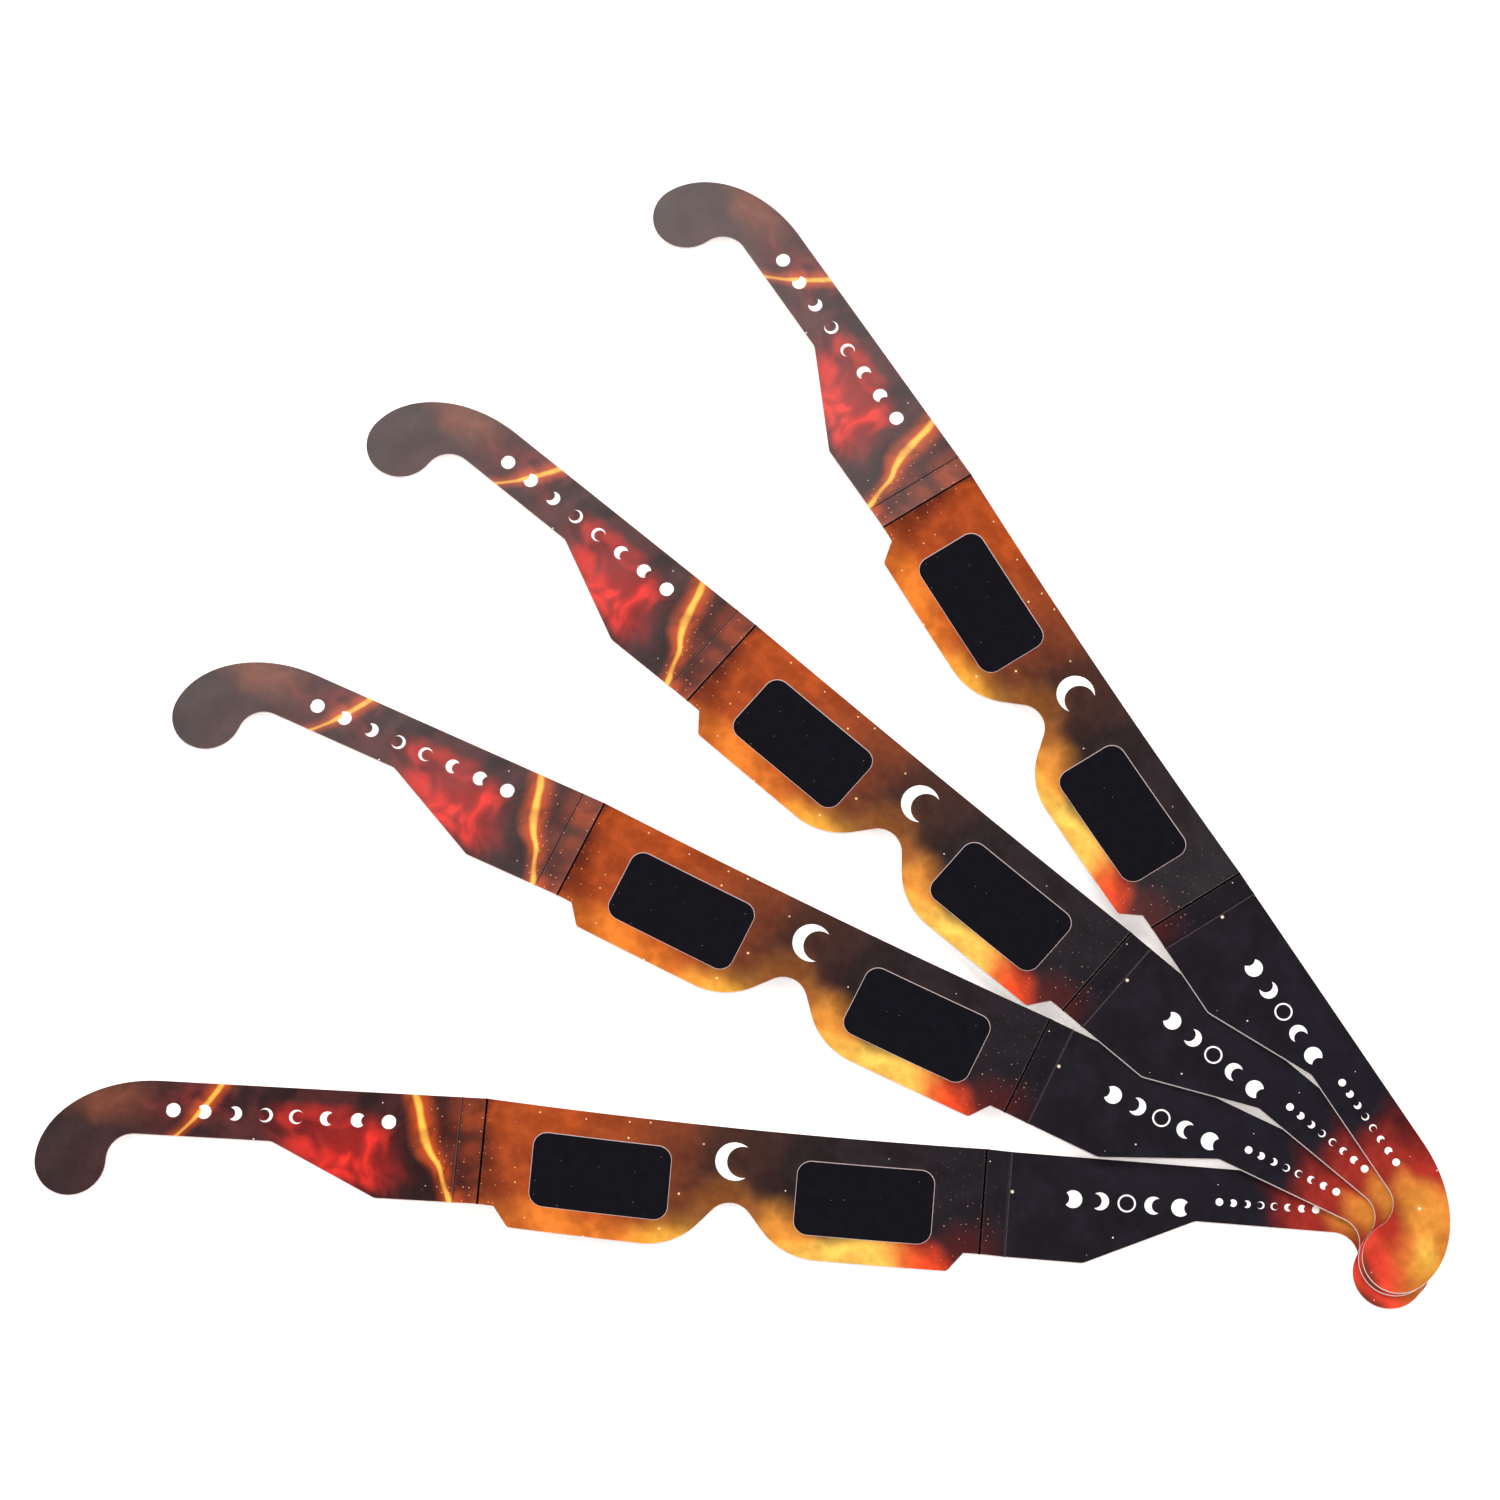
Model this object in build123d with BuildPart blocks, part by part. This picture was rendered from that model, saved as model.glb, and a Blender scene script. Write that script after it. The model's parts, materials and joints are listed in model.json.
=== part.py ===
from build123d import *
from math import cos, radians, sin
import os

# Four alike pairs of card viewing glasses lie fanned on a table, printed side up.
# Each pair is a printed card glued to a plain backing card, with two films held between them.
# The cards are creased where the front meets the temples, and spring up a little there.
# The origin is on the table, under the middle of the lowest pair's right hook.

# Card and film
printed_card = 0.5
backing_card = 0.5
film = 0.12
film_overlap = 3.0
film_clearance = 0.1
crease_gap = 0.3
stack_gap = 0.36
cut_overrun = 5.0

# Front, between its two creases
front_width = 138.0
crease_height = 29.8
lens_drop = 5.4
side_notch_inset = 4.4
side_notch_run = 4.2
lower_corner_radius = 1.5
nose_half_width = 14.8
nose_peak_depth = 17.6
nose_radius = 6.6
nose_flank_radius = 20.0

# Windows in the front
window_width = 37.9
window_height = 20.8
window_top_margin = 7.35
window_corner_radius = 3.9
bridge_width = 34.9

# Strips and temples, measured outwards from the creases
strip_width = 6.8
wide_length = 21.7
taper_length = 30.1
arm_width = 15.5
arm_length = 38.1
taper_corner_radius = 3.0
hook_inner_radius = 7.2
hook_tip_radius = 10.0
hook_drop = 23.85
hook_shoulder_run = 32.8

# How the pairs lie: angles about the hooks, and rises as shares of the tallest one
pair_names = ("pair_1", "pair_2", "pair_3", "pair_4")
fan_angles = (-4.71, -26.08, -40.82, -57.61)
hook_scatter_shares = ((0.0, 0.0), (-0.174, -0.199), (-0.012, 0.141), (0.079, 0.182))
spring_rise = 13.0
left_crease_shares = (1.0, 0.77, 0.446, 0.885)
nose_shares = (0.138, 0.3, 0.3, 0.346)
arm_rise = 2.3
arm_rise_shares = (0.0, 1.0, 1.0, 1.0)
strip_rise = 1.0
strip_rise_shares = (1.0, 0.3, 0.4, 0.25)

# Worked out from the sizes above
card_thickness = printed_card + backing_card
half_front = front_width / 2
half_gap = crease_gap / 2
lens_edge = crease_height + lens_drop
window_centre = (bridge_width + window_width) / 2
window_middle = window_top_margin + window_height / 2
score = half_front + strip_width
taper_start = score + wide_length
arm_start = taper_start + taper_length
hook_throat = arm_start + arm_length + hook_inner_radius
hook_centre = hook_throat + hook_tip_radius
temple_end = hook_centre + hook_tip_radius
shoulder_start = temple_end - hook_shoulder_run
sheet_depth = lens_edge + cut_overrun
sheet_height = spring_rise + cut_overrun
stack_pitch = card_thickness + stack_gap


class Pair:
    """Where one pair lies: its two working planes and the rises of its underside."""

    def __init__(self, index):
        self.name = pair_names[index]
        angle = radians(fan_angles[index])
        along = Vector(cos(angle), sin(angle), 0)
        across = Vector(-sin(angle), cos(angle), 0)
        scatter_x, scatter_y = hook_scatter_shares[index]
        hook = Vector(scatter_x * hook_tip_radius, scatter_y * hook_tip_radius, 0)
        origin = hook - along * hook_centre + across * hook_drop
        self.plan = Plane(origin=origin, x_dir=along, z_dir=(0, 0, 1))
        self.side = Plane(origin=origin, x_dir=along, z_dir=-across)
        hook_rise = index * stack_pitch
        score_rise = hook_rise + arm_rise * arm_rise_shares[index]
        self.right_rise = score_rise + strip_rise * strip_rise_shares[index]
        self.nose_rise = spring_rise * nose_shares[index]
        self.left_rise = spring_rise * left_crease_shares[index]
        self.right_line = [
            (half_front, self.right_rise),
            (score, score_rise),
            (temple_end, hook_rise),
        ]
        self.left_line = [(-half_front, self.left_rise), (-temple_end, 0)]


def front_sheet(pair, low, high):
    """A bowed sheet through both creases and the nose, between two levels of the card."""
    with BuildSketch(pair.side) as band:
        with BuildLine():
            under = ThreePointArc(
                (-half_front, pair.left_rise + low),
                (0, pair.nose_rise + low),
                (half_front, pair.right_rise + low),
            )
            over = ThreePointArc(
                (half_front, pair.right_rise + high),
                (0, pair.nose_rise + high),
                (-half_front, pair.left_rise + high),
            )
            Line(under @ 1, over @ 0)
            Line(over @ 1, under @ 0)
        make_face()
    extrude(band.sketch, amount=sheet_depth, both=True)


def outer_sheet(pair, side, low, high):
    """A sheet from the crease to the hook's end, bent a little at the score on the right."""
    line = pair.right_line if side > 0 else pair.left_line
    under = [(x, rise + low) for x, rise in line]
    over = [(x, rise + high) for x, rise in line]
    with BuildSketch(pair.side) as band:
        with BuildLine():
            Polyline(*under, *reversed(over), close=True)
        make_face()
    extrude(band.sketch, amount=sheet_depth, both=True)


def keep_front(pair):
    """Keeps the front's outline: straight top edge, side notches, lens edges and nose."""
    end = half_front - half_gap
    notch = half_front - side_notch_inset
    corner = notch - side_notch_run
    with BuildSketch(pair.plan) as outline:
        with BuildLine():
            lower = FilletPolyline(
                (notch, -crease_height),
                (corner, -lens_edge),
                (nose_half_width, -lens_edge),
                (0, -nose_peak_depth),
                (-nose_half_width, -lens_edge),
                (-corner, -lens_edge),
                (-notch, -crease_height),
                radius=[
                    lower_corner_radius,
                    nose_flank_radius,
                    nose_radius,
                    nose_flank_radius,
                    lower_corner_radius,
                ],
            )
            Polyline(
                lower @ 1,
                (-end, -crease_height),
                (-end, 0),
                (end, 0),
                (end, -crease_height),
                lower @ 0,
            )
        make_face()
    extrude(outline.sketch, amount=sheet_height, mode=Mode.INTERSECT)


def keep_strip(pair, side):
    """Keeps the narrow strip between the crease and the outer score."""
    with BuildSketch(pair.plan) as outline:
        with Locations((side * (half_front + score) / 2, -crease_height / 2)):
            Rectangle(strip_width - crease_gap, crease_height)
    extrude(outline.sketch, amount=sheet_height, mode=Mode.INTERSECT)


def keep_temple(pair, side):
    """Keeps a temple's outline: wide root, taper, arm and rounded ear hook."""
    root = side * (score + half_gap)
    shoulder_angle = 0 if side > 0 else 90
    with BuildSketch(pair.plan) as outline:
        with BuildLine():
            lower = FilletPolyline(
                (root, -crease_height),
                (side * taper_start, -crease_height),
                (side * arm_start, -arm_width),
                (side * hook_throat, -arm_width),
                (side * hook_throat, -hook_drop),
                radius=[taper_corner_radius, taper_corner_radius, hook_inner_radius],
            )
            ThreePointArc(
                lower @ 1,
                (side * hook_centre, -hook_drop - hook_tip_radius),
                (side * temple_end, -hook_drop),
            )
            EllipticalCenterArc(
                (side * shoulder_start, -hook_drop),
                hook_shoulder_run,
                hook_drop,
                start_angle=shoulder_angle,
                arc_size=90,
            )
            Polyline((side * shoulder_start, 0), (root, 0), lower @ 0)
        make_face()
    extrude(outline.sketch, amount=sheet_height, mode=Mode.INTERSECT)


def window_patch(pair, side, margin, mode):
    """A rounded patch over one window, standing past its edge by the margin."""
    with BuildSketch(pair.plan) as patch:
        with Locations((side * window_centre, -window_middle)):
            RectangleRounded(
                window_width + 2 * margin,
                window_height + 2 * margin,
                window_corner_radius + margin,
            )
    extrude(patch.sketch, amount=sheet_height, mode=mode)


def finish(piece, name):
    """Labels a finished piece and writes it to its file."""
    piece.part.label = name
    export_step(piece.part, f"parts/{name}.step")


os.makedirs("parts", exist_ok=True)

for index in range(len(pair_names)):
    pair = Pair(index)

    # The two films lie in shallow pockets in the backing card's upper face.
    pockets = []
    for side, side_name in ((-1, "left"), (1, "right")):
        with BuildPart() as lens:
            front_sheet(pair, backing_card - film, backing_card)
            window_patch(pair, side, film_overlap, Mode.INTERSECT)
        finish(lens, f"{pair.name}_{side_name}_lens")

        with BuildPart() as pocket:
            front_sheet(pair, backing_card - film, backing_card)
            window_patch(pair, side, film_overlap + film_clearance, Mode.INTERSECT)
        pockets.append(pocket.part)

    # The backing card has both windows, and holds the films against the printed card.
    with BuildPart() as front_backing:
        front_sheet(pair, 0, backing_card)
        keep_front(pair)
        for side in (-1, 1):
            window_patch(pair, side, 0, Mode.SUBTRACT)
        for pocket_shape in pockets:
            add(pocket_shape, mode=Mode.SUBTRACT)
    finish(front_backing, f"{pair.name}_front_backing")

    # The printed card is the face that shows.
    with BuildPart() as front_card:
        front_sheet(pair, backing_card, card_thickness)
        keep_front(pair)
        for side in (-1, 1):
            window_patch(pair, side, 0, Mode.SUBTRACT)
    finish(front_card, f"{pair.name}_front_card")

    # The strips and temples have the same two layers, parted from the front by the creases.
    layers = (("backing", 0, backing_card), ("card", backing_card, card_thickness))
    for side, side_name in ((-1, "left"), (1, "right")):
        for layer_name, low, high in layers:
            with BuildPart() as strip:
                outer_sheet(pair, side, low, high)
                keep_strip(pair, side)
            finish(strip, f"{pair.name}_{side_name}_strip_{layer_name}")

            with BuildPart() as temple:
                outer_sheet(pair, side, low, high)
                keep_temple(pair, side)
            finish(temple, f"{pair.name}_{side_name}_temple_{layer_name}")
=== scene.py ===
import json
from math import radians

import bmesh
import bpy
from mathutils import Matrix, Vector


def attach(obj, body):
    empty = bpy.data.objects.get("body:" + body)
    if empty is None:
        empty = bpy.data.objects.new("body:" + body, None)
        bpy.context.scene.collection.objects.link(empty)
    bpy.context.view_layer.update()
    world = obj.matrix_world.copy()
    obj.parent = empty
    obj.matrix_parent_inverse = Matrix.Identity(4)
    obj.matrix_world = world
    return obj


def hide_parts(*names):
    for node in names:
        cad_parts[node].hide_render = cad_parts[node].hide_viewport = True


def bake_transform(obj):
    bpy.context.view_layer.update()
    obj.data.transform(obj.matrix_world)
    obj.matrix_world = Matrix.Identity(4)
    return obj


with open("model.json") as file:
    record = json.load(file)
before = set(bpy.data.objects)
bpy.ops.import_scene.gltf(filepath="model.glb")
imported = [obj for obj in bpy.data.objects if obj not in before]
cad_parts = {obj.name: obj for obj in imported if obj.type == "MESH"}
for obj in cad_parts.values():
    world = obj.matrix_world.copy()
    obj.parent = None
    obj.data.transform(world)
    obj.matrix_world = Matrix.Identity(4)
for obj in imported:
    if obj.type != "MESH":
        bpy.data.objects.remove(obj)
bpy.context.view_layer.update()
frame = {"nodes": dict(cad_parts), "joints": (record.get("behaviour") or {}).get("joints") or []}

# Camera. It looks down on the table from the front, a long way off, as the photograph does.
# All four pairs fit in its square frame, with the fan's middle at the centre.
camera_elevation = 72.525
camera_data = bpy.data.cameras.new("camera")
camera_data.lens = 143.264
camera_data.sensor_width = 36.0
camera_data.clip_start = 0.05
camera_data.clip_end = 20.0
camera = bpy.data.objects.new("camera", camera_data)
camera.location = (-0.17695, -0.35671, 1.60695)
camera.rotation_euler = (radians(90.0 - camera_elevation), 0.0, 0.0)
bpy.context.scene.collection.objects.link(camera)
bpy.context.scene.camera = camera
bpy.context.scene.view_settings.view_transform = "Standard"
bpy.context.scene.view_settings.look = "None"


# Floor and light. A matt white table that glows a little of its own, under four broad, soft lamps
# in a dim room, so that shadows are pale and the dark films reflect little.
def tint(code):
    """A colour written as six hexadecimal digits, as the linear values that a shader needs."""
    parts = [int(code[i:i + 2], 16) / 255 for i in (0, 2, 4)]
    linear = [p / 12.92 if p <= 0.04045 else ((p + 0.055) / 1.055) ** 2.4 for p in parts]
    return (*linear, 1.0)


def feed(tree, made, inputs):
    """Gives each input of a node its value, or links it to another node's output."""
    for name, value in inputs.items():
        if isinstance(value, bpy.types.NodeSocket):
            tree.links.new(value, made.inputs[name])
        else:
            made.inputs[name].default_value = value


def add_node(tree, kind, inputs=None, **settings):
    """Adds a shader node with its settings and inputs."""
    made = tree.nodes.new(kind)
    for name, value in settings.items():
        setattr(made, name, value)
    feed(tree, made, inputs or {})
    return made


def noise(tree, place, scale, detail, roughness=0.5, dimensions="2D"):
    """Soft random variation, finer as the scale goes up."""
    inputs = {"Vector": place, "Scale": scale, "Detail": detail, "Roughness": roughness}
    return add_node(tree, "ShaderNodeTexNoise", inputs, noise_dimensions=dimensions)


def new_material(name):
    """An empty node material, and its node tree."""
    material = bpy.data.materials.new(name)
    material.use_nodes = True
    material.node_tree.nodes.clear()
    return material, material.node_tree


def set_surface(tree, inputs):
    """Ends a material in one surface with these inputs."""
    surface = add_node(tree, "ShaderNodeBsdfPrincipled", inputs)
    add_node(tree, "ShaderNodeOutputMaterial", {"Surface": surface.outputs[0]})


table_half_side = 3.0
table_drop = 0.0001
table_glow = 0.25
table_material, tree = new_material("white table")
table_place = add_node(tree, "ShaderNodeTexCoord").outputs["Object"]
table_grain = noise(tree, table_place, 40.0, 3.0, dimensions="3D").outputs["Fac"]
table_shade = add_node(tree, "ShaderNodeMapRange", {"Value": table_grain, "To Min": 0.94, "To Max": 0.96})
table_colour = add_node(
    tree, "ShaderNodeCombineColor", {part: table_shade.outputs[0] for part in ("Red", "Green", "Blue")}
)
set_surface(
    tree,
    {
        "Base Color": table_colour.outputs[0],
        "Roughness": 0.9,
        "Specular IOR Level": 0.1,
        "Emission Color": tint("fffcfa"),
        "Emission Strength": table_glow,
    },
)

mesh = bpy.data.meshes.new("table")
bm = bmesh.new()
bmesh.ops.create_grid(bm, x_segments=1, y_segments=1, size=table_half_side)
bmesh.ops.translate(bm, vec=(0.0, 0.0, -table_drop), verts=bm.verts)
bm.to_mesh(mesh)
bm.free()
mesh.materials.append(table_material)
table = bpy.data.objects.new("table", mesh)
bpy.context.scene.collection.objects.link(table)

# Each lamp's name, place, width in metres, watts and colour.
lamps_aim = Vector((-0.17, 0.12, 0.0))
lamps = (
    ("left lamp", (-1.5, 0.1, 1.1), 1.3, 17.0, "fff8f4"),
    ("right lamp", (1.2, 0.2, 1.1), 1.3, 17.0, "fff8f4"),
    ("back lamp", (-0.75, 1.45, 1.9), 0.9, 31.5, "fff3ef"),
    ("front lamp", (-0.2, -1.5, 0.9), 1.6, 17.0, "fffaf6"),
)
for name, lamp_place, width, watts, code in lamps:
    lamp_data = bpy.data.lights.new(name, "AREA")
    lamp_data.shape = "SQUARE"
    lamp_data.size = width
    lamp_data.energy = watts
    lamp_data.color = tint(code)[:3]
    lamp = bpy.data.objects.new(name, lamp_data)
    lamp.location = lamp_place
    aim = lamps_aim - Vector(lamp_place)
    lamp.rotation_euler = aim.to_track_quat("-Z", "Y").to_euler()
    bpy.context.scene.collection.objects.link(lamp)

room_brightness = 0.325
world = bpy.data.worlds.new("dim room")
world.use_nodes = True
world.node_tree.nodes["Background"].inputs["Color"].default_value = tint("eceaf6")
world.node_tree.nodes["Background"].inputs["Strength"].default_value = room_brightness
bpy.context.scene.world = world


# Printed cards of the fronts. Each is the outer, printed layer of a pair: satin-coated card, die-cut with
# two windows and a nose notch, glued on the white card. Its cut edges show the pale core.
pairs = ("pair_1", "pair_2", "pair_3", "pair_4")
joints = {joint["name"]: joint for joint in frame["joints"]}

# Lengths in metres and angles in degrees. Only faces that look up by more than card_face take the print.
mm_per_metre = 1000.0
card_depth = 0.0298
print_softness = 0.00006
card_face = 0.9
merge_distance = 0.000002
flat_angle = 0.4
cut_angle = 50.0
shading_angle = 32.0


def layout(pair):
    """Where a pair lies: the place on the table under its top edge's middle, the way along the card, and
    the way across it to the top edge."""
    right = joints[pair + "_right_crease_fold"]
    left = joints[pair + "_left_crease_fold"]
    across = Vector(right["axis"])
    along = Vector((across.y, -across.x, 0.0))
    middle = (Vector(right["pos_m"]) + Vector(left["pos_m"])) / 2 + across * (card_depth / 2)
    return Vector((middle.x, middle.y, 0.0)), along, across


def finish_piece(name, bm, pair, materials, face_limit):
    """Turns a bmesh into a piece. Faces that look up take the first material unless they were cut, and the
    rest the second. The map holds each point's place on the flat card in metres."""
    origin, along, across = layout(pair)
    bmesh.ops.triangulate(bm, faces=[face for face in bm.faces if len(face.verts) > 4])
    bmesh.ops.recalc_face_normals(bm, faces=bm.faces)
    sheet_map = bm.loops.layers.uv.new("sheet")
    for face in bm.faces:
        face.smooth = True
        if face.normal.z <= face_limit:
            face.material_index = 1
        for loop in face.loops:
            offset = loop.vert.co - origin
            loop[sheet_map].uv = (offset.dot(along), offset.dot(across))
    for edge in bm.edges:
        sides = {face.material_index for face in edge.link_faces}
        edge.smooth = len(sides) == 1 and edge.calc_face_angle(0) < radians(shading_angle)
    made = bpy.data.meshes.new(name)
    bm.to_mesh(made)
    bm.free()
    for material in materials:
        made.materials.append(material)
    piece = bpy.data.objects.new(name, made)
    bpy.context.scene.collection.objects.link(piece)
    return piece


def cut_card(name, node, pair, materials, softness):
    """A die-cut layer: the solid's own shape with its cut edges very slightly rounded."""
    bm = bmesh.new()
    bm.from_mesh(frame["nodes"][node].data)
    bmesh.ops.remove_doubles(bm, verts=bm.verts, dist=merge_distance)
    bmesh.ops.dissolve_limit(bm, angle_limit=radians(flat_angle), verts=bm.verts, edges=bm.edges)
    cut_edges = [
        edge
        for edge in bm.edges
        if len(edge.link_faces) == 2 and edge.calc_face_angle(0) > radians(cut_angle)
    ]
    for face in bm.faces:
        face.material_index = 0
    rounded = bmesh.ops.bevel(
        bm,
        geom=cut_edges,
        offset=softness,
        offset_type="OFFSET",
        affect="EDGES",
        segments=2,
        profile=0.5,
        clamp_overlap=True,
        material=-1,
    )
    for face in rounded["faces"]:
        face.material_index = 1
    return finish_piece(name, bm, pair, materials, card_face)


def mix(tree, factor, first, second, way="MIX"):
    """Mixes two colours. The node's sockets for colours are its inputs 6 and 7 and its output 2."""
    inputs = {0: factor, 6: first, 7: second}
    made = add_node(tree, "ShaderNodeMix", inputs, data_type="RGBA", blend_type=way, clamp_factor=True)
    return made.outputs[2]


def maths(tree, way, first, second=0.0):
    """One sum on plain numbers."""
    return add_node(tree, "ShaderNodeMath", {0: first, 1: second}, operation=way).outputs[0]


def product(tree, first, *others):
    """Numbers multiplied together, such as masks that all have to hold."""
    for other in others:
        first = maths(tree, "MULTIPLY", first, other)
    return first


def distance(tree, value, place):
    """How far a value lies from a place, to either side."""
    return maths(tree, "ABSOLUTE", maths(tree, "SUBTRACT", value, place))


def diagonal(tree, x, y):
    """The length of a step from its two parts."""
    return maths(tree, "SQRT", maths(tree, "ADD", product(tree, x, x), product(tree, y, y)))


def place_maths(tree, way, first, second):
    """One sum on places."""
    return add_node(tree, "ShaderNodeVectorMath", {0: first, 1: second}, operation=way).outputs[0]


def ease(tree, value, start, end, low=0.0, high=1.0):
    """A smooth step from low to high as the value goes from start to end."""
    inputs = {"Value": value, "From Min": start, "From Max": end, "To Min": low, "To Max": high}
    return add_node(tree, "ShaderNodeMapRange", inputs, interpolation_type="SMOOTHSTEP").outputs[0]


def new_group(name, numbers, outputs):
    """A shader node group that reads a place and some numbers. Gives its tree, its inputs and its end."""
    group = bpy.data.node_groups.new(name, "ShaderNodeTree")
    group.interface.new_socket("Place", in_out="INPUT", socket_type="NodeSocketVector")
    for socket in numbers:
        group.interface.new_socket(socket, in_out="INPUT", socket_type="NodeSocketFloat")
    for socket in outputs:
        kind = "NodeSocketColor" if socket == "Colour" else "NodeSocketFloat"
        group.interface.new_socket(socket, in_out="OUTPUT", socket_type=kind)
    return group, add_node(group, "NodeGroupInput").outputs, add_node(group, "NodeGroupOutput")


# Row of discs that a second disc passes over, as in the stages of an eclipse. Lengths in millimetres.
ink_edge = 0.06
passing_share = 0.82
stages, given, end = new_group(
    "eclipse stages", ("First", "Level", "Spacing", "Count", "Radius", "Pass", "Lag"), ("Ink",)
)
spot = add_node(stages, "ShaderNodeSeparateXYZ", {"Vector": given["Place"]})
steps = maths(stages, "DIVIDE", maths(stages, "SUBTRACT", spot.outputs[0], given["First"]), given["Spacing"])
turn = maths(stages, "FLOOR", steps)
disc_x = product(
    stages, maths(stages, "SUBTRACT", maths(stages, "FRACT", steps), 0.5), given["Spacing"]
)
disc_y = maths(stages, "SUBTRACT", spot.outputs[1], given["Level"])
half_count = product(stages, given["Count"], 0.5)
centred = maths(stages, "SUBTRACT", maths(stages, "ADD", turn, 0.5), half_count)
slip = maths(stages, "ADD", product(stages, centred, given["Pass"]), given["Lag"])
passing_x = maths(stages, "SUBTRACT", disc_x, product(stages, slip, given["Radius"]))
disc_gap = maths(stages, "SUBTRACT", diagonal(stages, disc_x, disc_y), given["Radius"])
passing_radius = product(stages, given["Radius"], passing_share)
passing_gap = maths(stages, "SUBTRACT", diagonal(stages, passing_x, disc_y), passing_radius)
inside = ease(stages, disc_gap, ink_edge, -ink_edge)
covered = ease(stages, passing_gap, ink_edge, -ink_edge)
begun = maths(stages, "GREATER_THAN", turn, -0.5)
not_ended = maths(stages, "LESS_THAN", turn, maths(stages, "SUBTRACT", given["Count"], 0.5))
ink = product(stages, inside, maths(stages, "SUBTRACT", 1.0, covered), product(stages, begun, not_ended))
feed(stages, end, {"Ink": ink})

# Flecks of light or dust scattered at random, with a share of the cells left empty. Lengths in millimetres.
flecks, given, end = new_group("flecks", ("Cell", "Radius", "Share"), ("Light",))
cell_scale = maths(flecks, "DIVIDE", 1.0, given["Cell"])
cells = add_node(
    flecks, "ShaderNodeTexVoronoi", {"Vector": given["Place"], "Scale": cell_scale}, voronoi_dimensions="2D"
)
cell_colour = add_node(flecks, "ShaderNodeSeparateColor", {"Color": cells.outputs["Color"]})
own_radius = product(flecks, given["Radius"], maths(flecks, "ADD", 0.35, cell_colour.outputs[1]))
near = maths(flecks, "DIVIDE", product(flecks, cells.outputs["Distance"], given["Cell"]), own_radius)
chosen = maths(flecks, "LESS_THAN", cell_colour.outputs[0], given["Share"])
feed(flecks, end, {"Light": product(flecks, ease(flecks, near, 1.3, 0.35), chosen)})

# The print: drifting clouds of glowing gas over a dark sky, as one picture along the whole card.
# Place is in millimetres from the middle of the card's top edge, x to the right and y up, and the card's
# two ends are sheet_end from there.
sky, given, end = new_group("sky print", (), ("Colour", "Wear", "Groove", "Height"))
sheet_end = 193.0
drift_reach = (30.0, 18.0, 0.0)
place = given["Place"]
drift = noise(sky, place, 0.035, 2.0)
drift_way = place_maths(sky, "SUBTRACT", drift.outputs["Color"], (0.5, 0.5, 0.5))
drifted = place_maths(sky, "ADD", place, place_maths(sky, "MULTIPLY", drift_way, drift_reach))
drifted_parts = add_node(sky, "ShaderNodeSeparateXYZ", {"Vector": drifted})
parts = add_node(sky, "ShaderNodeSeparateXYZ", {"Vector": place})
flat_x, flat_y = parts.outputs[0], parts.outputs[1]

# The ground's colours, each with its share of the way along the card.
stops = (
    (0.0, "2e2022"),
    (0.1, "432224"),
    (0.2, "371618"),
    (0.28, "301212"),
    (0.318, "4b1d12"),
    (0.35, "a1481f"),
    (0.4, "a84c1e"),
    (0.45, "7a3d23"),
    (0.49, "422a24"),
    (0.56, "251f22"),
    (0.7, "1a1821"),
    (0.86, "181721"),
    (0.905, "4f181b"),
    (0.94, "aa3024"),
    (0.97, "cc7635"),
)
from_end = maths(sky, "ADD", drifted_parts.outputs[0], sheet_end)
ground = add_node(sky, "ShaderNodeValToRGB", {"Fac": maths(sky, "DIVIDE", from_end, 2 * sheet_end)})
ground.color_ramp.interpolation = "EASE"
while len(ground.color_ramp.elements) < len(stops):
    ground.color_ramp.elements.new(0.5)
for element, (position, code) in zip(ground.color_ramp.elements, stops):
    element.position = position
    element.color = tint(code)
colour = ground.outputs["Color"]

# Each cloud's middle, its half width and half height, its colour and its strength.
clouds = (
    (-107.0, -16.0, 20.0, 10.0, "d92e26", 0.95),
    (-174.0, -6.0, 14.0, 8.5, "74402c", 0.75),
    (-119.0, -8.0, 10.0, 5.0, "a3221c", 0.7),
    (-90.0, -25.0, 13.0, 8.0, "371112", 0.8),
    (-152.0, -8.0, 18.0, 7.0, "651e1f", 0.7),
    (-71.0, -12.0, 7.0, 12.0, "5b2412", 0.6),
    (-58.0, -4.0, 18.0, 8.0, "ad4f1f", 0.7),
    (-34.0, -36.0, 38.0, 9.0, "ea8831", 0.95),
    (-16.0, -33.0, 13.0, 8.0, "f9be48", 0.9),
    (4.0, -24.0, 17.0, 8.0, "a8692b", 0.7),
    (15.0, -31.0, 9.0, 14.0, "f8aa46", 0.95),
    (32.0, -36.0, 24.0, 8.0, "f9ce5e", 1.0),
    (51.0, -36.0, 16.0, 10.0, "e44822", 0.95),
    (68.0, -28.0, 10.0, 9.0, "591d18", 0.6),
    (160.0, -13.0, 15.0, 10.0, "a03127", 0.85),
    (179.0, -11.0, 12.0, 9.5, "dc973d", 1.0),
    (187.0, -21.0, 9.0, 8.0, "e1a13c", 0.8),
    (181.0, -29.0, 15.0, 8.0, "dc4432", 1.0),
    (183.0, -17.0, 6.0, 4.5, "f6cd58", 0.7),
    (184.0, -35.5, 13.0, 4.5, "5a1c20", 0.85),
)
cloud_edge, cloud_heart = 1.25, 0.15
for middle_x, middle_y, reach_x, reach_y, code, strength in clouds:
    moved = place_maths(sky, "SUBTRACT", drifted, (middle_x, middle_y, 0.0))
    scaled = place_maths(sky, "MULTIPLY", moved, (1 / reach_x, 1 / reach_y, 0.0))
    length = add_node(sky, "ShaderNodeVectorMath", {0: scaled}, operation="LENGTH").outputs["Value"]
    colour = mix(sky, ease(sky, length, cloud_edge, cloud_heart, 0.0, strength), colour, tint(code))

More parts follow.
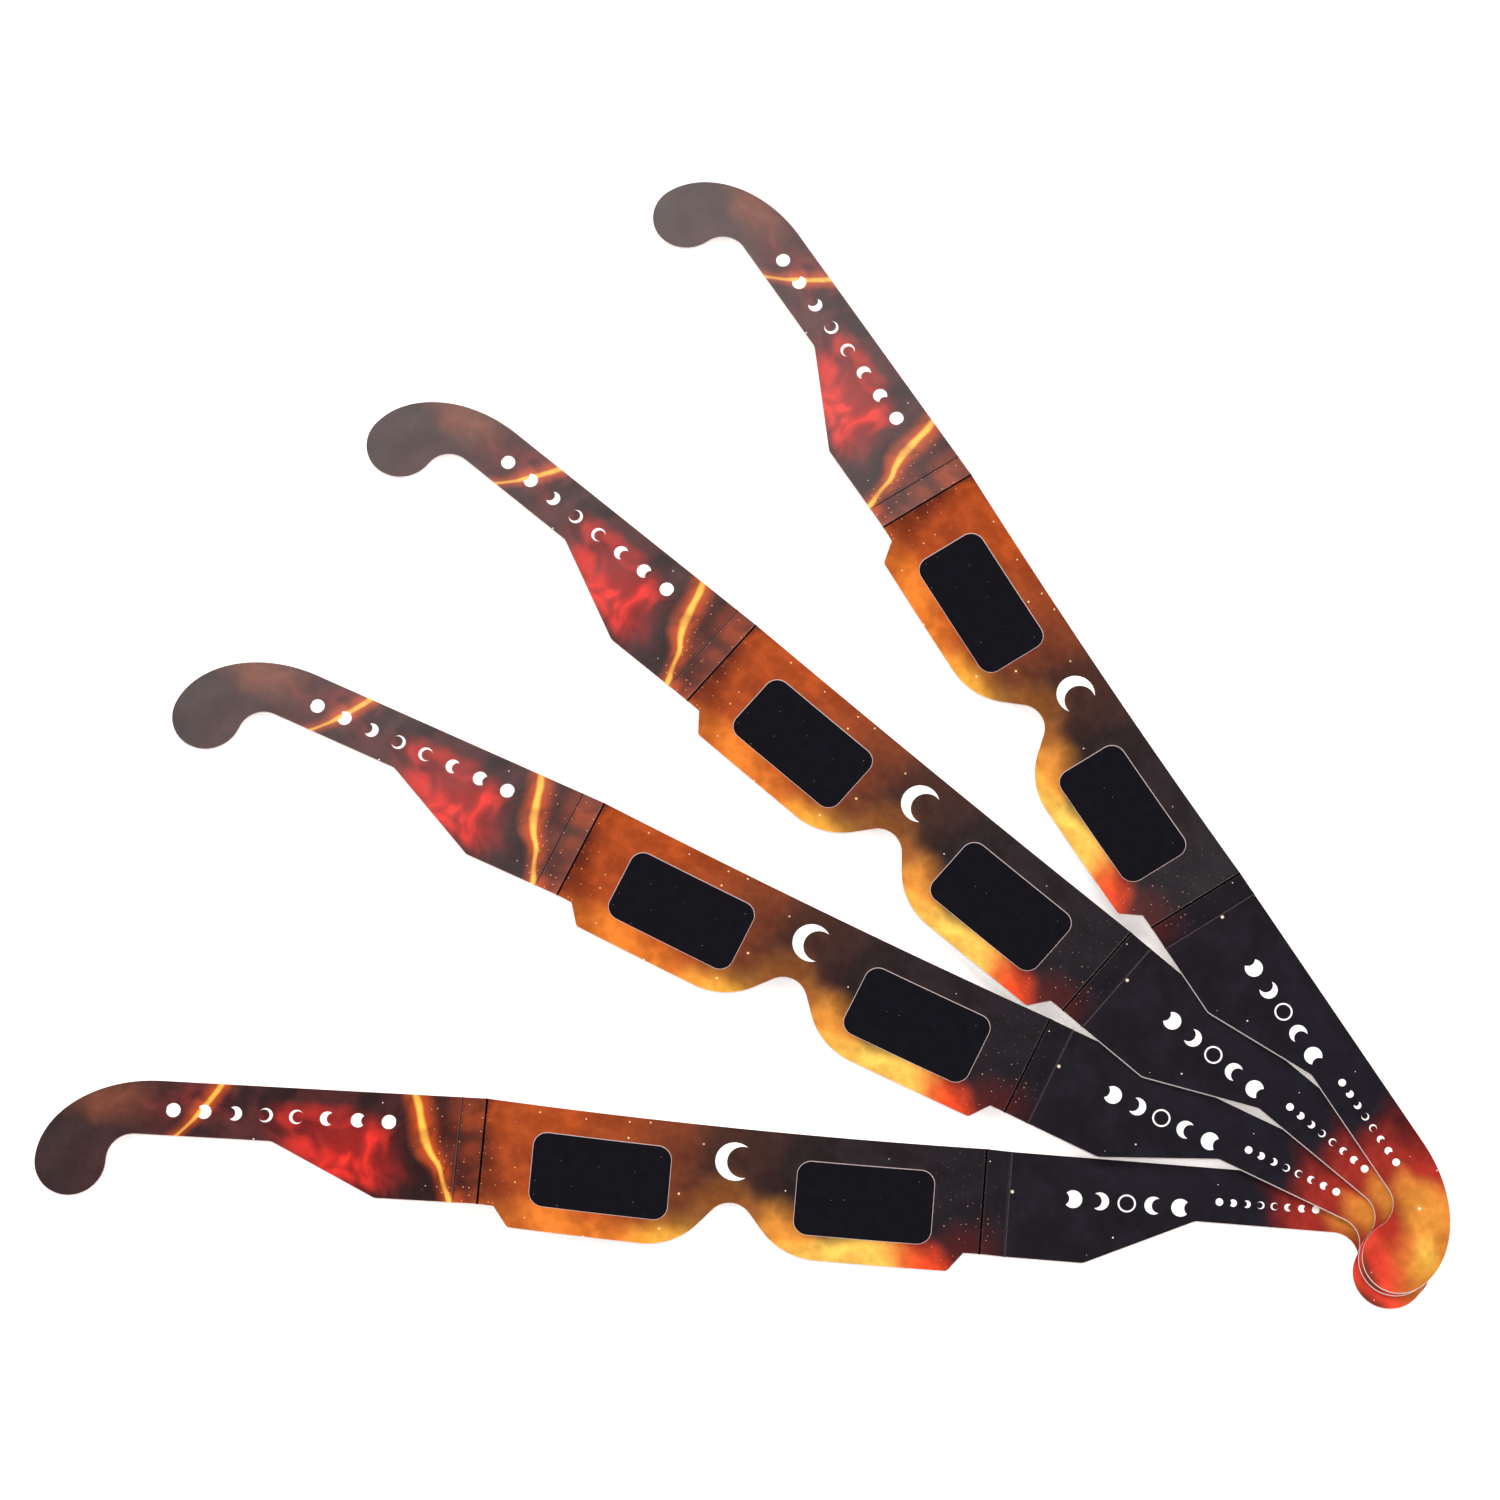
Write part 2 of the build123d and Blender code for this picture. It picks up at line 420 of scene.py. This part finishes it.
# Billows give the clouds soft light and dark folds, deepest in the red gas of the left temple. Each shade
# and light multiplies the ink beneath it.
soft_shade, soft_light = (0.66, 0.6, 0.56, 1.0), (0.97, 0.93, 0.88, 1.0)
mottle_shade, mottle_light = (0.92, 0.88, 0.86, 1.0), (1.07, 1.08, 1.05, 1.0)
deep_shade, deep_light = (0.55, 0.46, 0.48, 1.0), (1.3, 1.15, 1.05, 1.0)
billow = noise(sky, drifted, 0.11, 2.5, 0.45).outputs["Fac"]
soft_folds = mix(sky, ease(sky, billow, 0.3, 0.7), soft_shade, soft_light)
colour = mix(sky, 1.0, colour, soft_folds, "MULTIPLY")
mottle = noise(sky, place, 0.36, 3.0, 0.55).outputs["Fac"]
mottled = mix(sky, ease(sky, mottle, 0.3, 0.7), mottle_shade, mottle_light)
colour = mix(sky, 1.0, colour, mottled, "MULTIPLY")
red_gas = product(sky, ease(sky, flat_x, -172.0, -140.0), ease(sky, flat_x, -62.0, -76.0))
deep_folds = mix(sky, ease(sky, billow, 0.36, 0.64), deep_shade, deep_light)
colour = mix(sky, red_gas, colour, mix(sky, 1.0, colour, deep_folds, "MULTIPLY"))

# Two bright streamers cross the left temple, each a thin thread of light in a wide soft halo.
# Each one's place on the top edge, its lean and its half width. The reaches are in half widths.
streamers = ((-143.0, 0.75, 0.55), (-89.0, -0.5, 0.75))
thread_sway = 14.0
halo_reach, halo_strength = 8.0, 0.6
thread_reach, thread_heart = 2.0, 0.3
halo_ink, thread_ink = tint("df5915"), tint("f9bc49")
thread_bend = product(sky, maths(sky, "SUBTRACT", drift.outputs["Fac"], 0.5), thread_sway)
thread_glow = ease(sky, billow, 0.32, 0.6, 0.45, 1.0)
for start_x, lean, half_width in streamers:
    bent = maths(sky, "SUBTRACT", maths(sky, "ADD", flat_x, thread_bend), product(sky, flat_y, lean))
    from_thread = distance(sky, bent, start_x)
    soft = ease(sky, from_thread, half_width * halo_reach, 0.0, 0.0, halo_strength)
    colour = mix(sky, product(sky, soft, thread_glow), colour, halo_ink)
    crisp = ease(sky, from_thread, half_width * thread_reach, half_width * thread_heart)
    colour = mix(sky, product(sky, crisp, thread_glow), colour, thread_ink)

# Each set of stars: its cell size, their radius, the share of cells kept, their colour, the first and last
# x between which they lie, and the y above which they fade.
star_sets = (
    (7.0, 0.2, 0.08, "f9eee0", -sheet_end, sheet_end, 0.0),
    (1.5, 0.13, 0.28, "f9b59a", 54.0, 74.0, -17.0),
    (1.8, 0.14, 0.3, "f9a86c", -88.0, -60.0, 0.0),
    (5.0, 0.26, 0.22, "f9dc9a", -64.0, -6.0, 0.0),
    (24.0, 0.55, 0.3, "f9ead0", -70.0, sheet_end, 0.0),
)
zone_outside, zone_inside = 4.0, 8.0
for cell, radius, kept, code, first_x, last_x, top_y in star_sets:
    inputs = {"Place": place, "Cell": cell, "Radius": radius, "Share": kept}
    stars = add_node(sky, "ShaderNodeGroup", inputs, node_tree=flecks)
    zone = product(
        sky,
        ease(sky, flat_x, first_x - zone_outside, first_x + zone_inside),
        ease(sky, flat_x, last_x + zone_outside, last_x - zone_inside),
        ease(sky, flat_y, top_y + zone_outside, top_y - zone_outside, 0.15, 1.0),
    )
    colour = mix(sky, product(sky, stars.outputs["Light"], zone), colour, tint(code))

# White marks: rows of eclipse stages, where the bare white card is left unprinted. Each row's first x, its
# y, its spacing, count and radius, how far the passing disc moves at each step, and how far it lags.
bare_white = tint("f9f9f9")
rows = (
    (-160.0, -8.2, 8.6, 8.0, 2.0, 0.5, 0.0),
    (-7.0, -9.5, 14.0, 1.0, 5.4, 0.0, 0.42),
    (90.0, -12.0, 7.4, 5.0, 2.5, 0.62, 0.0),
    (132.0, -9.5, 3.8, 8.0, 1.05, 0.5, 0.0),
)
for row in rows:
    inputs = {"Place": place}
    inputs.update(zip(("First", "Level", "Spacing", "Count", "Radius", "Pass", "Lag"), row))
    marks = add_node(sky, "ShaderNodeGroup", inputs, node_tree=stages)
    colour = mix(sky, marks.outputs["Ink"], colour, bare_white)

# An unprinted rim of pale card runs round each window, up to its cut edge. The window's straight sides end
# at window_side_x and window_side_y from its middle, and the rim's edge lies a little past its corner radius.
window_x, window_y = 36.4, -17.75
window_side_x, window_side_y = 15.05, 6.5
rim_edge, rim_full = 4.08, 3.98
rim_colour, rim_strength, rim_dullness = tint("cdaead"), 0.75, 0.5
from_middle = maths(sky, "ABSOLUTE", flat_x)
past_side_x = maths(sky, "SUBTRACT", distance(sky, from_middle, window_x), window_side_x)
past_side_y = maths(sky, "SUBTRACT", distance(sky, flat_y, window_y), window_side_y)
from_corner = diagonal(
    sky, maths(sky, "MAXIMUM", past_side_x, 0.0), maths(sky, "MAXIMUM", past_side_y, 0.0)
)
rim = ease(sky, from_corner, rim_edge, rim_full)
colour = mix(sky, product(sky, rim, rim_strength), colour, rim_colour)

# Marks at the folds. At the creases, a band of painted shade, a near-black line of painted shade in the
# groove and a few fine cracks of real wear. At the scores, a fainter band and line of painted shade, and a
# painted highlight on the outer shoulder. Distances and depths in millimetres.
crease_x, score_x, shoulder_x = 69.0, 75.8, 0.32
groove_depth, dent_depth = 0.06, 0.015
# Colours of the painted shade along the folds and in their grooves, of the pale core in the cracks, and of
# the painted highlight on the score's shoulder.
crease_painted_shade, score_painted_shade, painted_shade_strength = tint("221212"), tint("110c0e"), 0.3
groove_painted_shade, torn_core, painted_shoulder_highlight = tint("090809"), tint("dfb5a8"), tint("aa959c")
from_crease = distance(sky, from_middle, crease_x)
past_score = maths(sky, "SUBTRACT", from_middle, score_x)
from_score = maths(sky, "ABSOLUTE", past_score)
from_shoulder = distance(sky, past_score, shoulder_x)
crackle = noise(sky, place, 1.6, 5.0, 0.75).outputs["Fac"]
worn_spots = noise(sky, place, 0.22, 2.0).outputs["Fac"]
crack_band = product(sky, ease(sky, from_crease, 0.62, 0.2), ease(sky, worn_spots, 0.46, 0.6, 0.15, 1.0))
cracks = product(sky, crack_band, ease(sky, crackle, 0.56, 0.64))
# Painted shade: the crease and score lines are drawn near black, as the shade inside the groove.
crease_line = ease(sky, from_crease, 0.36, 0.18)
score_line = ease(sky, from_score, 0.22, 0.1, 0.0, 0.6)
groove = maths(sky, "MAXIMUM", crease_line, score_line)
# Painted highlight: a pale, slightly broken line on the score's outer shoulder, where the ridge catches the
# light.
shoulder_highlight = product(sky, ease(sky, from_shoulder, 0.18, 0.06, 0.0, 0.12), ease(sky, crackle, 0.3, 0.6, 0.5, 1.0))
# Painted shade: a dark band along each crease and each score, where shade falls in the fold.
colour = mix(sky, product(sky, ease(sky, from_crease, 0.9, 0.1), painted_shade_strength), colour, crease_painted_shade)
colour = mix(sky, product(sky, ease(sky, from_score, 1.3, 0.1), painted_shade_strength), colour, score_painted_shade)
colour = mix(sky, groove, colour, groove_painted_shade)
bare_cracks = product(sky, cracks, ease(sky, from_crease, 0.25, 0.5, 0.04, 0.4))
colour = mix(sky, bare_cracks, colour, torn_core)
colour = mix(sky, shoulder_highlight, colour, painted_shoulder_highlight)
wear = maths(sky, "MAXIMUM", maths(sky, "MAXIMUM", cracks, shoulder_highlight), product(sky, rim, rim_dullness))
score_dent = product(sky, ease(sky, from_score, 0.7, 0.0), -dent_depth)
height = maths(sky, "SUBTRACT", score_dent, product(sky, groove, groove_depth))
feed(sky, end, {"Colour": colour, "Wear": wear, "Groove": groove, "Height": height})


def map_place(tree):
    """The flat card's map in millimetres."""
    card_map = add_node(tree, "ShaderNodeUVMap", uv_map="sheet")
    inputs = {0: card_map.outputs[0], "Scale": mm_per_metre}
    return add_node(tree, "ShaderNodeVectorMath", inputs, operation="SCALE").outputs[0]


# The satin varnish over the print, rougher where it is worn. The groove lines are painted shade, like cracks
# that
# trap light: Metallic takes their gloss away, because it can vary over the surface and the specular level
# can't.
# Heights in millimetres.
worn_dullness = 0.3
fibre_height, ripple_height = 0.006, 0.25
print_material, tree = new_material("satin print")
place = map_place(tree)
picture = add_node(tree, "ShaderNodeGroup", {"Place": place}, node_tree=sky)
fibre = noise(tree, place, 3.2, 4.0, 0.7).outputs["Fac"]
ripple = noise(tree, place, 0.05, 1.0).outputs["Fac"]
worn = product(tree, picture.outputs["Wear"], worn_dullness)
satin = maths(tree, "ADD", ease(tree, fibre, 0.3, 0.7, 0.22, 0.28), worn)
unevenness = maths(
    tree, "ADD", product(tree, fibre, fibre_height), product(tree, ripple, ripple_height)
)
relief = maths(tree, "ADD", unevenness, picture.outputs["Height"])
bump = add_node(tree, "ShaderNodeBump", {"Height": relief, "Strength": 0.8, "Distance": 0.001})
set_surface(
    tree,
    {
        "Base Color": picture.outputs["Colour"],
        "Roughness": satin,
        "Metallic": picture.outputs["Groove"],
        "Normal": bump.outputs[0],
        "Specular IOR Level": 0.19,
    },
)

# The cut edge shows the card's layers as long pale fibres.
edge_material, tree = new_material("cut card edge")
edge_place = add_node(tree, "ShaderNodeTexCoord").outputs["Object"]
stretch = add_node(tree, "ShaderNodeMapping", {"Vector": edge_place, "Scale": (900.0, 900.0, 9000.0)})
layers = noise(tree, stretch.outputs[0], 1.0, 4.0, 0.7, "3D").outputs["Fac"]
edge_colour = mix(tree, ease(tree, layers, 0.35, 0.65), tint("c4b5b2"), tint("ded5d2"))
edge_bump = add_node(tree, "ShaderNodeBump", {"Height": layers, "Strength": 0.4, "Distance": 0.00005})
set_surface(tree, {"Base Color": edge_colour, "Roughness": 0.85, "Normal": edge_bump.outputs[0]})

print_materials = (print_material, edge_material)
for pair in pairs:
    piece = cut_card(pair + "_front_print", pair + "_front_card", pair, print_materials, print_softness)
    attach(piece, pair + "_front")
    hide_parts(pair + "_front_card")


# White backing cards of the fronts. Each is the inner layer: uncoated white card with the same outline,
# glued under the print, with shallow seats for the films.
white_softness = 0.00005
white_material, tree = new_material("uncoated white card")
place = map_place(tree)
pulp = noise(tree, place, 1.4, 6.0, 0.7).outputs["Fac"]
patches = noise(tree, place, 0.12, 3.0).outputs["Fac"]
white_colour = mix(tree, ease(tree, pulp, 0.35, 0.65), tint("c8c4bf"), tint("d9d5d0"))
white_colour = mix(tree, ease(tree, patches, 0.4, 0.7, 0.0, 0.35), white_colour, tint("cec8c0"))
white_bump = add_node(tree, "ShaderNodeBump", {"Height": pulp, "Strength": 0.35, "Distance": 0.00006})
set_surface(tree, {"Base Color": white_colour, "Roughness": 0.88, "Normal": white_bump.outputs[0]})

white_materials = (white_material, white_material)
for pair in pairs:
    piece = cut_card(pair + "_front_back", pair + "_front_backing", pair, white_materials, white_softness)
    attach(piece, pair + "_front")
    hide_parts(pair + "_front_backing")


# Film lenses. Each is a thin sheet of black polymer film, glossy and slightly slack, laid between the
# two cards with its edges covered. A little dust lies on it.
film_softness = 0.00002
dust_strength, dust_dullness = 0.6, 0.5
film_material, tree = new_material("black film")
place = map_place(tree)
slack = noise(tree, place, 0.06, 1.5).outputs["Fac"]
haze = noise(tree, place, 0.3, 5.0).outputs["Fac"]
dust = add_node(
    tree, "ShaderNodeGroup", {"Place": place, "Cell": 3.4, "Radius": 0.08, "Share": 0.1}, node_tree=flecks
).outputs["Light"]
film_colour = mix(tree, ease(tree, haze, 0.4, 0.7), tint("09080e"), tint("0c0b11"))
film_colour = mix(tree, product(tree, dust, dust_strength), film_colour, tint("aca8af"))
haze_gloss = ease(tree, haze, 0.4, 0.7, 0.05, 0.065)
film_gloss = maths(tree, "ADD", haze_gloss, product(tree, dust, dust_dullness))
film_bump = add_node(tree, "ShaderNodeBump", {"Height": slack, "Strength": 0.6, "Distance": 0.0003})
set_surface(
    tree,
    {
        "Base Color": film_colour,
        "Roughness": film_gloss,
        "Normal": film_bump.outputs[0],
        "Specular IOR Level": 0.25,
    },
)

film_materials = (film_material, film_material)
for pair in pairs:
    for side in ("left", "right"):
        node = f"{pair}_{side}_lens"
        piece = cut_card(node + "_film", node, pair, film_materials, film_softness)
        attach(piece, pair + "_front")
        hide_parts(node)


# Strips and temples. The front's two cards run on past each crease as a narrow strip, and past the score as
# a temple: a card arm with a wide root, a straight taper and a rounded hook for the ear. Only the folds part
# them from the front.
for panel in ("strip", "temple"):
    for pair in pairs:
        for side in ("left", "right"):
            node = f"{pair}_{side}_{panel}"
            piece = cut_card(node + "_print", node + "_card", pair, print_materials, print_softness)
            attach(piece, node)
            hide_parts(node + "_card")
            piece = cut_card(node + "_back", node + "_backing", pair, white_materials, white_softness)
            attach(piece, node)
            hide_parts(node + "_backing")


# Folds. Each is the card itself at a crease or score: bent fibres that fill the slot between two
# panels, with the print cracked open over them at a crease and only dented at a score.
crease_at, score_at = crease_x / mm_per_metre, score_x / mm_per_metre
top_edge_reach = 0.00002
fold_face = 0.25


def slope_at(node, pair, at):
    """How steeply a panel's top edge rises along the card, next to a place along it in metres."""
    origin, along, across = layout(pair)
    highest = {}
    for vertex in frame["nodes"][node].data.vertices:
        offset = vertex.co - origin
        if abs(offset.dot(across)) < top_edge_reach:
            spot = round(offset.dot(along), 5)
            highest[spot] = max(highest.get(spot, -1.0), vertex.co.z)
    spots = sorted(highest, key=lambda spot: abs(spot - at))
    return (highest[spots[1]] - highest[spots[0]]) / (spots[1] - spots[0])


def band_section(lip, groove_bottom, lip_under_end):
    """A fold band's outline in millimetres, out from the fold and up from the print. Its lip lies on both
    panels, given from the outer end in, and its core stands in the slot between them."""
    core_half_width, core_top, core_foot, core_middle = 0.149, -0.05, -0.97, -0.985
    under = ((lip_under_end, -0.03), (core_half_width, core_top), (core_half_width, core_foot))
    left_lip = [(-out, up) for out, up in lip]
    left_under = [(-out, up) for out, up in reversed(under)]
    return [*left_lip, (0.0, groove_bottom), *reversed(lip), *under, (0.0, core_middle), *left_under]


crease_section = band_section(((0.58, 0.0), (0.5, 0.012), (0.28, 0.02), (0.14, 0.01)), -0.4, 0.56)
score_section = band_section(((0.5, 0.0), (0.3, 0.004), (0.16, 0.004), (0.07, -0.012)), -0.03, 0.48)
folds = (
    ("right_score_fold", score_at, "right_strip", "right_temple", score_section),
    ("right_crease_fold", crease_at, "front", "right_strip", crease_section),
    ("left_crease_fold", -crease_at, "left_strip", "front", crease_section),
    ("left_score_fold", -score_at, "left_temple", "left_strip", score_section),
)
for pair in pairs:
    origin, along, across = layout(pair)
    for kind, at, low_side, high_side, section in folds:
        top = joints[f"{pair}_{kind}"]["pos_m"][2]
        low_slope = slope_at(f"{pair}_{low_side}_card", pair, at)
        high_slope = slope_at(f"{pair}_{high_side}_card", pair, at)
        bm = bmesh.new()
        outline = []
        for out, up in section:
            height = top + (out * (low_slope if out < 0 else high_slope) + up) / mm_per_metre
            corner = origin + along * (at + out / mm_per_metre) + Vector((0, 0, height))
            outline.append(bm.verts.new(corner))
        grown = bmesh.ops.extrude_face_region(bm, geom=[bm.faces.new(outline)])
        far_end = [item for item in grown["geom"] if isinstance(item, bmesh.types.BMVert)]
        bmesh.ops.translate(bm, vec=across * -card_depth, verts=far_end)
        piece = finish_piece(f"{pair}_{kind}_band", bm, pair, print_materials, fold_face)
        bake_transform(piece)
